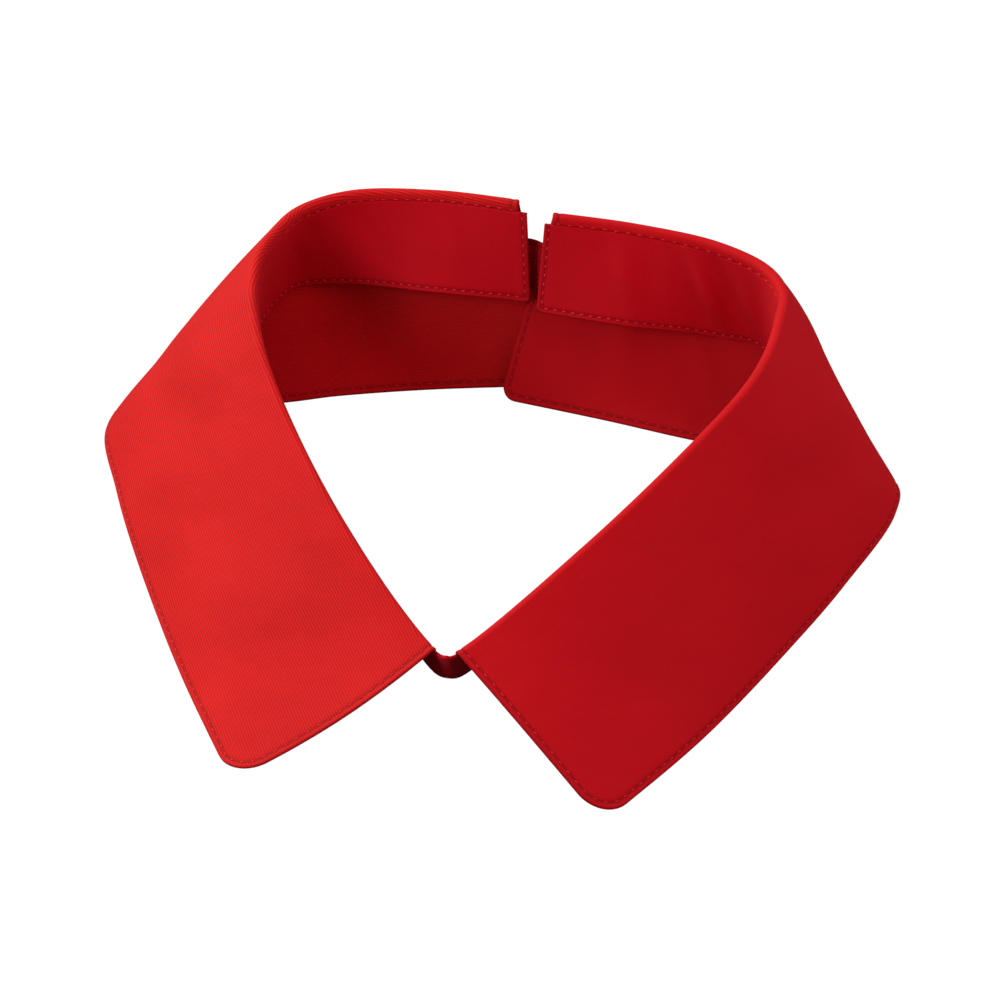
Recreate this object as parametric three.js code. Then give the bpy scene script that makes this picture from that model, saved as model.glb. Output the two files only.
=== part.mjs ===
// A detachable shirt collar in red twill, standing by itself on the outer edges of its two leaves.
// Millimetres, +Z up, the points towards -Y. Left and right are as seen from the front.
import * as THREE from "three";

// Driving dimensions of the neck loop, which is the folded top edge
const NECK_WIDTH = 130;
const NECK_DEPTH = 146;
const FOLD_HEIGHT = 52;

// Driving dimensions of the leaves
const LEAF_WIDTH = 60;
const LEAF_WALL = 1.4;
const ROLL_RADIUS = 1.7;
const LEAF_BULGE = 3.6;
const POINT_RADIUS = 9;
const BACK_CORNER_RADIUS = 4;

// Driving dimensions of the stand, the band inside the fold
const STAND_HEIGHT = FOLD_HEIGHT / 2;
const STAND_WALL = 1.4;
const SEAM_DROP = 1.2;

// Driving dimensions of the back fastening
const TAB_WALL = 0.8;
const TAB_HEIGHT = STAND_HEIGHT / 2;
const TAB_TOP = (STAND_HEIGHT * 9) / 26;
const TAB_LAP = 6.5;
const SNAP_RADIUS = 3.5;
const SNAP_THICKNESS = 1.6;

// The gap between two pieces that touch, and between the leaf's seam and the stand below it
const CLEARANCE = 0.4;
const SEAM_GAP = 0.45;

// Sections of the half loop from the back opening to the front, the same on both sides.
// height is a share of FOLD_HEIGHT and bulge of LEAF_BULGE. inward_x and inward_y are how far the
// stand leans in, as shares of its own height there, and stand is that height as a share of STAND_HEIGHT.
const SECTIONS = [
  { height: 1.0, bulge: 1.6, inward_x: -0.05, inward_y: -0.39, stand: 1.0 },
  { height: 0.985, bulge: 1.5, inward_x: 0.0, inward_y: -0.48, stand: 1.0 },
  { height: 0.97, bulge: 2.4, inward_x: -0.02, inward_y: -0.19, stand: 1.0 },
  { height: 0.96, bulge: 2.6, inward_x: 0.02, inward_y: 0.04, stand: 1.0 },
  { height: 0.95, bulge: 1.1, inward_x: 0.03, inward_y: 0.06, stand: 1.0 },
  { height: 0.94, bulge: 0.4, inward_x: 0.0, inward_y: 0.03, stand: 1.0 },
  { height: 0.93, bulge: 0.4, inward_x: -0.12, inward_y: 0.04, stand: 1.0 },
  { height: 0.915, bulge: 0.3, inward_x: -0.2, inward_y: 0.08, stand: 1.0 },
  { height: 0.835, bulge: 0.3, inward_x: -0.27, inward_y: 0.17, stand: 0.93 },
  { height: 0.67, bulge: 0.3, inward_x: -0.25, inward_y: 0.34, stand: 0.8 },
  { height: 0.5, bulge: 0.3, inward_x: 0.0, inward_y: 0.52, stand: 0.68 },
];

// Where each side's sections lie. neck_x and neck_y are shares of half the neck's width and depth.
// reach_x and reach_y, shares of LEAF_WIDTH, are how far the outer edge lies from the fold.
const RIGHT_SIDE = [
  { neck_x: 0.07, neck_y: 0.94, reach_x: -0.15, reach_y: -0.19 },
  { neck_x: 0.4, neck_y: 0.95, reach_x: -0.04, reach_y: -0.26 },
  { neck_x: 0.72, neck_y: 0.92, reach_x: -0.01, reach_y: -0.28 },
  { neck_x: 0.92, neck_y: 0.83, reach_x: 0.14, reach_y: -0.2 },
  { neck_x: 1.0, neck_y: 0.71, reach_x: 0.35, reach_y: -0.08 },
  { neck_x: 1.0, neck_y: 0.56, reach_x: 0.57, reach_y: 0.03 },
  { neck_x: 0.98, neck_y: 0.39, reach_x: 0.6, reach_y: 0.04 },
  { neck_x: 0.92, neck_y: 0.19, reach_x: 0.49, reach_y: -0.22 },
  { neck_x: 0.77, neck_y: -0.06, reach_x: 0.49, reach_y: -0.3 },
  { neck_x: 0.43, neck_y: -0.54, reach_x: 0.545, reach_y: -0.375 },
  { neck_x: 0.04, neck_y: -1.0, reach_x: 0.635, reach_y: -0.375 },
];
const LEFT_SIDE = [
  { neck_x: 0.07, neck_y: 0.99, reach_x: -0.15, reach_y: -0.13 },
  { neck_x: 0.39, neck_y: 1.0, reach_x: -0.03, reach_y: -0.27 },
  { neck_x: 0.72, neck_y: 0.95, reach_x: -0.03, reach_y: -0.33 },
  { neck_x: 0.9, neck_y: 0.83, reach_x: 0.06, reach_y: -0.3 },
  { neck_x: 0.97, neck_y: 0.7, reach_x: 0.33, reach_y: -0.18 },
  { neck_x: 1.01, neck_y: 0.56, reach_x: 0.53, reach_y: -0.11 },
  { neck_x: 1.0, neck_y: 0.38, reach_x: 0.59, reach_y: -0.09 },
  { neck_x: 0.95, neck_y: 0.19, reach_x: 0.52, reach_y: -0.23 },
  { neck_x: 0.82, neck_y: -0.08, reach_x: 0.51, reach_y: -0.27 },
  { neck_x: 0.48, neck_y: -0.56, reach_x: 0.53, reach_y: -0.42 },
  { neck_x: 0.05, neck_y: -1.0, reach_x: 0.7, reach_y: -0.42 },
];

// The middle of the front, where only the stand runs across between the leaves
const FRONT = { neck_y: -1.025, height: 0.51, inward_y: 0.52, stand: 0.67 };

// How far the stand runs past each leaf's back edge, at its top and at its bottom
const STAND_ENDS = {
  right: { top: 1.7, bottom: 0.1 },
  left: { top: 2.4, bottom: 4.6 },
};

// How far each leaf's front edge bows out beyond a straight line
const FRONT_EDGE_BOW = { right: 0.4, left: 2.8 };

const LAST = SECTIONS.length - 1;
const STEPS = 2 * SECTIONS.length;

// One section's points: on the fold, on the leaf's outer edge and on the stand's bottom edge.
function sectionPoints(section, place, mirror) {
  const fold = new THREE.Vector3(
    (mirror * place.neck_x * NECK_WIDTH) / 2,
    (place.neck_y * NECK_DEPTH) / 2,
    section.height * FOLD_HEIGHT,
  );
  const edge = new THREE.Vector3(
    fold.x + mirror * place.reach_x * LEAF_WIDTH,
    fold.y + place.reach_y * LEAF_WIDTH,
    0,
  );
  return { fold, edge, base: standBase(fold, section, mirror) };
}

// The stand's bottom edge below a point of the fold, one stand height away and leaning inwards.
function standBase(fold, section, mirror) {
  const height = section.stand * STAND_HEIGHT;
  const inward = Math.hypot(section.inward_x, section.inward_y);
  return new THREE.Vector3(
    fold.x + mirror * section.inward_x * height,
    fold.y + section.inward_y * height,
    fold.z - height * Math.sqrt(1 - inward * inward),
  );
}

function frontPoints() {
  const fold = new THREE.Vector3(0, (FRONT.neck_y * NECK_DEPTH) / 2, FRONT.height * FOLD_HEIGHT);
  const base = standBase(fold, { ...FRONT, inward_x: 0 }, 1);
  return { fold, edge: fold.clone(), base };
}

// Curves round the whole loop, from the right side's back end over the front to the left side's.
const loopPoints = [
  ...SECTIONS.map((section, i) => sectionPoints(section, RIGHT_SIDE[i], 1)),
  frontPoints(),
  ...SECTIONS.map((section, i) => sectionPoints(section, LEFT_SIDE[i], -1)).reverse(),
];
const smooth = (points) => new THREE.CatmullRomCurve3(points, false, "centripetal");
const foldCurve = smooth(loopPoints.map((p) => p.fold));
const baseCurve = smooth(loopPoints.map((p) => p.base));

// Each leaf's outer edge is a curve of its own, run at the loop's own parameter.
const SIDES = {
  right: {
    edge: smooth(loopPoints.slice(0, LAST + 1).map((p) => p.edge)),
    at: (along) => (along * LAST) / STEPS,
  },
  left: {
    edge: smooth(loopPoints.slice(-LAST - 1).map((p) => p.edge).reverse()),
    at: (along) => 1 - (along * LAST) / STEPS,
  },
};

// A section table's column at a share of the way from back to front.
function column(name, along) {
  const place = Math.min(along * LAST, LAST - 1e-9);
  const row = Math.floor(place);
  return THREE.MathUtils.lerp(SECTIONS[row][name], SECTIONS[row + 1][name], place - row);
}

// The frame of the roll at a place on the loop: its centre, the outward direction and the stand's way down.
function rollFrame(loop) {
  const fold = foldCurve.getPoint(loop);
  const base = baseCurve.getPoint(loop);
  const along = foldCurve.getTangent(loop).setZ(0).normalize();
  const out = new THREE.Vector3(-along.y, along.x, 0);
  const centre = fold.clone().setZ(fold.z - ROLL_RADIUS - LEAF_WALL / 2);
  const down = base.clone().sub(centre);
  const lean = Math.atan2(-down.dot(out), -down.z);
  const seam = centre
    .clone()
    .addScaledVector(out, -ROLL_RADIUS * Math.cos(lean))
    .setZ(centre.z + ROLL_RADIUS * Math.sin(lean));
  const leg = base.clone().sub(seam);
  return { fold, base, along, out, centre, lean, seam, leg };
}

// A point of the stand's middle surface. drop is 0 at the seam below the roll and 1 at the bottom edge.
function standPoint(loop, drop) {
  const clamped = THREE.MathUtils.clamp(loop, 0, 1);
  const { seam, leg } = rollFrame(clamped);
  const length = leg.length();
  const start = SEAM_DROP / length;
  return seam.addScaledVector(leg, THREE.MathUtils.lerp(start, 1, drop));
}

// The leaf's middle surface. along runs from the back edge to the front one, and down from the seam
// inside over the roll, which ends at 0, to the outer edge at 1.
const ROLL_ROWS = [-1, -0.8, -0.6, -0.4, -0.2, 0];

function leafPoint(side, along, down) {
  const frame = rollFrame(SIDES[side].at(along));
  const edge = SIDES[side].edge.getPoint(along);
  const reach = edge.clone().sub(frame.centre);
  const outward = reach.dot(frame.out);
  const distance = Math.hypot(outward, reach.z);
  const slope = Math.atan2(outward, -reach.z) - Math.asin(ROLL_RADIUS / distance);
  if (down < -0.8) {
    const leg = frame.leg.clone().normalize();
    return frame.seam.clone().addScaledVector(leg, (SEAM_DROP - SEAM_GAP) * (-0.8 - down) * 5);
  }
  const onRoll = (angle) =>
    frame.centre
      .clone()
      .addScaledVector(frame.out, ROLL_RADIUS * Math.cos(angle))
      .add(new THREE.Vector3(0, 0, ROLL_RADIUS * Math.sin(angle)));
  if (down < 0) {
    return onRoll(THREE.MathUtils.lerp(slope, Math.PI - frame.lean, -down / 0.8));
  }
  const start = onRoll(slope);
  const swell = LEAF_BULGE * column("bulge", along) * 4 * down * (1 - down);
  const bow = FRONT_EDGE_BOW[side] * Math.max(0, 1 - (1 - along) * 5) ** 2 * 4 * down * (1 - down);
  const forward = side === "right" ? frame.along : frame.along.clone().negate();
  return start
    .lerp(edge, down)
    .addScaledVector(frame.out, swell * Math.cos(slope))
    .add(new THREE.Vector3(0, 0, swell * Math.sin(slope)))
    .addScaledVector(forward, bow);
}

// How much of the leaf's width is left where a rounded corner cuts it, for a distance from the corner.
function cornerShare(distance, radius, width) {
  if (distance >= radius) {
    return 1;
  }
  return 1 - (radius - Math.sqrt(radius ** 2 - (radius - distance) ** 2)) / width;
}

// Distances along the outer edge from its back end, at even steps of the parameter.
function edgeLengths(edge, steps) {
  return edge.getPoints(steps).reduce((sums, point, i, points) => {
    sums.push(i === 0 ? 0 : sums[i - 1] + point.distanceTo(points[i - 1]));
    return sums;
  }, []);
}

// The parameter where a distance along the outer edge is reached.
function alongAt(lengths, distance) {
  const next = Math.max(1, lengths.findIndex((length) => length >= distance));
  const share = (distance - lengths[next - 1]) / (lengths[next] - lengths[next - 1]);
  return (next - 1 + share) / (lengths.length - 1);
}

// Builds a closed wall of even thickness about a middle surface given as rows of columns of points.
function wallGeometry(middle, thickness) {
  const rows = middle.length;
  const columns = middle[0].length;
  const at = (i, j) =>
    middle[THREE.MathUtils.clamp(i, 0, rows - 1)][THREE.MathUtils.clamp(j, 0, columns - 1)];
  const outer = [];
  const inner = [];
  middle.forEach((line, i) =>
    line.forEach((point, j) => {
      const across = at(i + 1, j).clone().sub(at(i - 1, j));
      const downwards = at(i, j + 1).clone().sub(at(i, j - 1));
      const normal = across.cross(downwards).normalize();
      const [a, b] = wallPair(point, normal, thickness / 2);
      outer.push(a);
      inner.push(b);
    }),
  );
  const points = [...outer, ...inner];
  const half = rows * columns;
  const faces = [];
  const quad = (a, b, c, d) => faces.push(a, b, c, a, c, d);
  for (let i = 0; i < rows - 1; i += 1) {
    for (let j = 0; j < columns - 1; j += 1) {
      const a = i * columns + j;
      quad(a, a + columns, a + columns + 1, a + 1);
      quad(half + a, half + a + 1, half + a + columns + 1, half + a + columns);
    }
  }
  const rim = (a, b) => quad(a, b, half + b, half + a);
  for (let i = 0; i < rows - 1; i += 1) {
    rim((i + 1) * columns, i * columns);
    rim(i * columns + columns - 1, (i + 1) * columns + columns - 1);
  }
  for (let j = 0; j < columns - 1; j += 1) {
    rim(j, j + 1);
    rim((rows - 1) * columns + j + 1, (rows - 1) * columns + j);
  }
  return facing(points, faces);
}

// The two skins' points beside a middle point. On the surface below, the wall is cut off level.
function wallPair(point, normal, half) {
  const level = Math.hypot(normal.x, normal.y);
  if (point.z < half * 0.5) {
    const aside = new THREE.Vector3(normal.x, normal.y, 0).multiplyScalar(half / level ** 2);
    return [point.clone().add(aside), point.clone().sub(aside)];
  }
  const pair = [point.clone().addScaledVector(normal, half), point.clone().addScaledVector(normal, -half)];
  pair.forEach((p) => p.setZ(Math.max(p.z, 0)));
  return pair;
}

// A geometry whose faces point outwards.
function facing(points, faces) {
  const geometry = new THREE.BufferGeometry().setFromPoints(points);
  let volume = 0;
  for (let i = 0; i < faces.length; i += 3) {
    const [a, b, c] = [points[faces[i]], points[faces[i + 1]], points[faces[i + 2]]];
    volume += a.dot(b.clone().cross(c));
  }
  geometry.setIndex(volume > 0 ? faces : faces.slice().reverse());
  geometry.computeVertexNormals();
  return geometry;
}

const LEAF_STATIONS = 34;
const LEAF_ROWS = [0, 0.08, 0.18, 0.3, 0.44, 0.58, 0.72, 0.86, 1];
const CORNER_STEPS = 5;

// A leaf: its stations are even along the outer edge, and closer at the two rounded corners.
function leafGeometry(side) {
  const lengths = edgeLengths(SIDES[side].edge, 400);
  const total = lengths.at(-1);
  const corner = (radius) =>
    Array.from({ length: CORNER_STEPS }, (_, k) =>
      radius * (1 - Math.cos((k / CORNER_STEPS) * (Math.PI / 2))),
    );
  const between = total - POINT_RADIUS - BACK_CORNER_RADIUS;
  const distances = [
    ...corner(BACK_CORNER_RADIUS),
    ...Array.from({ length: LEAF_STATIONS }, (_, k) =>
      BACK_CORNER_RADIUS + (between * k) / (LEAF_STATIONS - 1),
    ),
    ...corner(POINT_RADIUS)
      .map((distance) => total - distance)
      .reverse(),
  ];
  const middle = distances.map((distance) => {
    const along = alongAt(lengths, distance);
    const width = leafPoint(side, along, 0).distanceTo(leafPoint(side, along, 1));
    const share =
      cornerShare(distance, BACK_CORNER_RADIUS, width) * cornerShare(total - distance, POINT_RADIUS, width);
    const rows = [...ROLL_ROWS.slice(0, -1), ...LEAF_ROWS.map((row) => row * share)];
    return rows.map((down) => leafPoint(side, along, down));
  });
  return wallGeometry(middle, LEAF_WALL);
}

const STAND_STATIONS = 110;
const STAND_ROWS = 5;

// The stand: one wall round the front, with its two ends at the back run out past the leaves.
function standGeometry() {
  const middle = [];
  for (let i = 0; i < STAND_STATIONS; i += 1) {
    const loop = i / (STAND_STATIONS - 1);
    const line = [];
    for (let j = 0; j < STAND_ROWS; j += 1) {
      line.push(standPoint(loop, j / (STAND_ROWS - 1)));
    }
    middle.push(line);
  }
  const runOut = (side, loop) => {
    const { along } = rollFrame(loop);
    const backwards = side === "right" ? along.negate() : along;
    return middle[side === "right" ? 0 : middle.length - 1].map((point, j) => {
      const ends = STAND_ENDS[side];
      const distance = THREE.MathUtils.lerp(ends.top, ends.bottom, j / (STAND_ROWS - 1));
      return point.clone().addScaledVector(backwards, distance);
    });
  };
  const rightEnd = runOut("right", 0);
  const leftEnd = runOut("left", 1);
  return wallGeometry([rightEnd, ...middle, leftEnd], STAND_WALL);
}

// A point beside the stand's outer face near the back, for what is fastened on it.
function besideStand(side, back, drop, offset) {
  const loop = side === "right" ? 0 : 1;
  const inner = side === "right" ? 0.02 : 0.98;
  const point = standPoint(loop, drop);
  const further = standPoint(inner, drop);
  const below = standPoint(loop, Math.min(drop + 0.2, 1)).sub(standPoint(loop, Math.max(drop - 0.2, 0)));
  const away = further.sub(point).normalize();
  const normal = away.clone().cross(below).normalize();
  if (normal.y < 0) {
    normal.negate();
  }
  return { point: point.addScaledVector(away, back).addScaledVector(normal, offset), normal };
}

const TAB_OFFSET = STAND_WALL / 2 + CLEARANCE + TAB_WALL / 2 + 0.1;
const SNAP_OFFSET = STAND_WALL / 2 + CLEARANCE + SNAP_THICKNESS / 2;
const TAB_ROWS = 4;
const TAB_STATIONS = 14;

// The tab lies on the outside of both stand ends and crosses the opening between them.
function tabGeometry() {
  const legLength = standPoint(0, 0).distanceTo(standPoint(0, 1));
  const overSnap = TAB_OFFSET + SNAP_THICKNESS + CLEARANCE;
  const columns = [];
  for (let j = 0; j < TAB_ROWS; j += 1) {
    const drop = (TAB_TOP + (TAB_HEIGHT * j) / (TAB_ROWS - 1) - SEAM_DROP) / legLength;
    const path = new THREE.CatmullRomCurve3([
      besideStand("right", TAB_LAP, drop, TAB_OFFSET).point,
      besideStand("right", TAB_LAP / 2, drop, TAB_OFFSET).point,
      besideStand("left", -STAND_ENDS.left.bottom, drop, overSnap).point,
      besideStand("left", TAB_LAP / 2, drop, overSnap).point,
      besideStand("left", TAB_LAP, drop, overSnap).point,
    ]);
    columns.push(path.getPoints(TAB_STATIONS));
  }
  const middle = columns[0].map((_, i) => columns.map((points) => points[i]));
  return wallGeometry(middle, TAB_WALL);
}

// The snap between the tab and the left stand end, one plain disc.
function snapMesh() {
  const legLength = standPoint(1, 0).distanceTo(standPoint(1, 1));
  const drop = (TAB_TOP + TAB_HEIGHT / 2 - SEAM_DROP) / legLength;
  const { point, normal } = besideStand("left", TAB_LAP / 2, drop, SNAP_OFFSET);
  const disc = new THREE.Mesh(
    new THREE.CylinderGeometry(SNAP_RADIUS, SNAP_RADIUS, SNAP_THICKNESS, 24),
    new THREE.MeshStandardMaterial({ color: 0x8c1018, roughness: 0.4, metalness: 0 }),
  );
  disc.quaternion.setFromUnitVectors(new THREE.Vector3(0, 1, 0), normal);
  disc.position.copy(point);
  disc.name = "snap";
  return disc;
}

function clothMesh(name, geometry, colour) {
  const material = new THREE.MeshStandardMaterial({ color: colour, roughness: 0.8, metalness: 0 });
  material.side = THREE.DoubleSide;
  const mesh = new THREE.Mesh(geometry, material);
  mesh.name = name;
  return mesh;
}

const pieces = new THREE.Group();
pieces.add(clothMesh("stand", standGeometry(), 0x97091a));
pieces.add(clothMesh("leaf_right", leafGeometry("right"), 0xa80412));
pieces.add(clothMesh("leaf_left", leafGeometry("left"), 0xd4222a));
pieces.add(clothMesh("back_tab", tabGeometry(), 0x6e0610));
pieces.add(snapMesh());

// The origin lies on the surface below the middle of the collar.
const box = new THREE.Box3().setFromObject(pieces, true);
const middle = box.getCenter(new THREE.Vector3());
pieces.position.set(-middle.x, -middle.y, -box.min.z);

const collar = new THREE.Group();
collar.add(pieces);
export default collar;
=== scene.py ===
"""Looks of a detachable collar in red twill, built in the frame of its solids.

Lengths are in millimetres until a mesh is placed, and every mesh is placed in metres.
"""

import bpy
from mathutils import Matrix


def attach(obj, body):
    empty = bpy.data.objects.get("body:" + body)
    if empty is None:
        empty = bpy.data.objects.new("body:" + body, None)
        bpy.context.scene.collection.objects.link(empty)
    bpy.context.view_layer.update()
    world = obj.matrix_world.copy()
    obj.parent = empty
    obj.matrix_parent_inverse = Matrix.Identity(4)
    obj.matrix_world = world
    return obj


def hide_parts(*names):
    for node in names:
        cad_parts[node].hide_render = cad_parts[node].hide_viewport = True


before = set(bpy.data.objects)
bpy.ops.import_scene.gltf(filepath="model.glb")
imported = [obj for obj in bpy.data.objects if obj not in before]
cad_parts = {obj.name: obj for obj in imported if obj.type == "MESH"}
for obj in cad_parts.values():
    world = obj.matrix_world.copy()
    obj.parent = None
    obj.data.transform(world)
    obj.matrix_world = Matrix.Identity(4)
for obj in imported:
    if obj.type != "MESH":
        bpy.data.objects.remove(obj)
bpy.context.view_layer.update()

import logging
import math
from dataclasses import dataclass, field
from enum import Enum

import bmesh
import bpy
import numpy as np
from mathutils import Matrix, Vector

log = logging.getLogger("collar")
MM = 0.001
UP = np.array([0.0, 0.0, 1.0])

# The cloth's edges round off over this distance, and its stitches draw in a groove this deep and wide
RIM_ROUNDING = 0.6
GROOVE_DEPTH = 0.14
GROOVE_WIDTH = 0.55


class Side(Enum):
    """Which half of the collar, as seen from the front."""

    RIGHT = "right"
    LEFT = "left"


@dataclass(frozen=True)
class Section:
    """One section of the half loop, from the back opening to the front.

    height is a share of the fold's height and bulge of the leaf's. inward_x and inward_y are how
    far the stand leans in, as shares of its own height there, and stand is that height's share.
    """

    height: float
    bulge: float
    inward_x: float
    inward_y: float
    stand: float


@dataclass(frozen=True)
class Place:
    """Where one side's section lies: shares of half the neck, and of the leaf's width."""

    neck_x: float
    neck_y: float
    reach_x: float
    reach_y: float


@dataclass(frozen=True)
class Dent:
    """A soft dent or fold, placed by its distances along a panel and up from its lower edge."""

    along: float
    up: float
    half_long: float
    half_wide: float
    turn: float
    depth: float


SECTIONS = (
    Section(1.0, 1.6, -0.05, -0.39, 1.0),
    Section(0.985, 1.5, 0.0, -0.48, 1.0),
    Section(0.97, 2.4, -0.02, -0.19, 1.0),
    Section(0.96, 2.6, 0.02, 0.04, 1.0),
    Section(0.95, 1.1, 0.03, 0.06, 1.0),
    Section(0.94, 0.4, 0.0, 0.03, 1.0),
    Section(0.93, 0.4, -0.12, 0.04, 1.0),
    Section(0.915, 0.3, -0.2, 0.08, 1.0),
    Section(0.835, 0.3, -0.27, 0.17, 0.93),
    Section(0.67, 0.3, -0.25, 0.34, 0.8),
    Section(0.5, 0.3, 0.0, 0.52, 0.68),
)
FRONT = Section(0.51, 0.0, 0.0, 0.52, 0.67)
FRONT_NECK = -1.025
PLACES = {
    Side.RIGHT: (
        Place(0.07, 0.94, -0.15, -0.19),
        Place(0.4, 0.95, -0.04, -0.26),
        Place(0.72, 0.92, -0.01, -0.28),
        Place(0.92, 0.83, 0.14, -0.2),
        Place(1.0, 0.71, 0.35, -0.08),
        Place(1.0, 0.56, 0.57, 0.03),
        Place(0.98, 0.39, 0.6, 0.04),
        Place(0.92, 0.19, 0.49, -0.22),
        Place(0.77, -0.06, 0.49, -0.3),
        Place(0.43, -0.54, 0.545, -0.375),
        Place(0.04, -1.0, 0.635, -0.375),
    ),
    Side.LEFT: (
        Place(0.07, 0.99, -0.15, -0.13),
        Place(0.39, 1.0, -0.03, -0.27),
        Place(0.72, 0.95, -0.03, -0.33),
        Place(0.9, 0.83, 0.06, -0.3),
        Place(0.97, 0.7, 0.33, -0.18),
        Place(1.01, 0.56, 0.53, -0.11),
        Place(1.0, 0.38, 0.59, -0.09),
        Place(0.95, 0.19, 0.52, -0.23),
        Place(0.82, -0.08, 0.51, -0.27),
        Place(0.48, -0.56, 0.53, -0.42),
        Place(0.05, -1.0, 0.7, -0.42),
    ),
}


class SmoothCurve:
    """A centripetal Catmull-Rom curve through points, run from 0 to 1."""

    def __init__(self, points: np.ndarray) -> None:
        """Keeps the points, with one more beyond each end."""
        p = np.asarray(points, float)
        self.last = len(p) - 1
        self.points = np.vstack([2 * p[0] - p[1], p, 2 * p[-1] - p[-2]])

    def at(self, where: np.ndarray) -> np.ndarray:
        """Points of the curve.

        Args:
            where: places from 0 to 1.

        Returns:
            One point per place.
        """
        place = np.clip(where, 0, 1) * self.last
        row = np.minimum(place.astype(int), self.last - 1)
        rest = (place - row)[:, None]
        p0, p1, p2, p3 = (self.points[row + k] for k in range(4))
        d0, d1, d2 = (
            np.sqrt(np.linalg.norm(b - a, axis=1))[:, None] for a, b in ((p0, p1), (p1, p2), (p2, p3))
        )
        m1 = ((p1 - p0) / d0 - (p2 - p0) / (d0 + d1) + (p2 - p1) / d1) * d1
        m2 = ((p2 - p1) / d1 - (p3 - p1) / (d1 + d2) + (p3 - p2) / d2) * d1
        square = -3 * p1 + 3 * p2 - 2 * m1 - m2
        cube = 2 * p1 - 2 * p2 + m1 + m2
        return p1 + rest * (m1 + rest * (square + rest * cube))

    def tangent(self, where: np.ndarray) -> np.ndarray:
        """Level unit directions along the curve at the given places."""
        step = self.at(np.clip(where + 1e-4, 0, 1)) - self.at(np.clip(where - 1e-4, 0, 1))
        step[:, 2] = 0
        return step / np.linalg.norm(step, axis=1)[:, None]


def share_rows(values: np.ndarray, points: np.ndarray) -> np.ndarray:
    """Scales each of the points by its own value."""
    return values[..., None] * points


@dataclass
class Roll:
    """The frames of the rolled fold at some places of the loop."""

    base: np.ndarray
    along: np.ndarray
    out: np.ndarray
    centre: np.ndarray
    lean: np.ndarray
    seam: np.ndarray

    @property
    def leg(self) -> np.ndarray:
        """From the seam below the roll to the stand's bottom edge."""
        return self.base - self.seam


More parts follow.
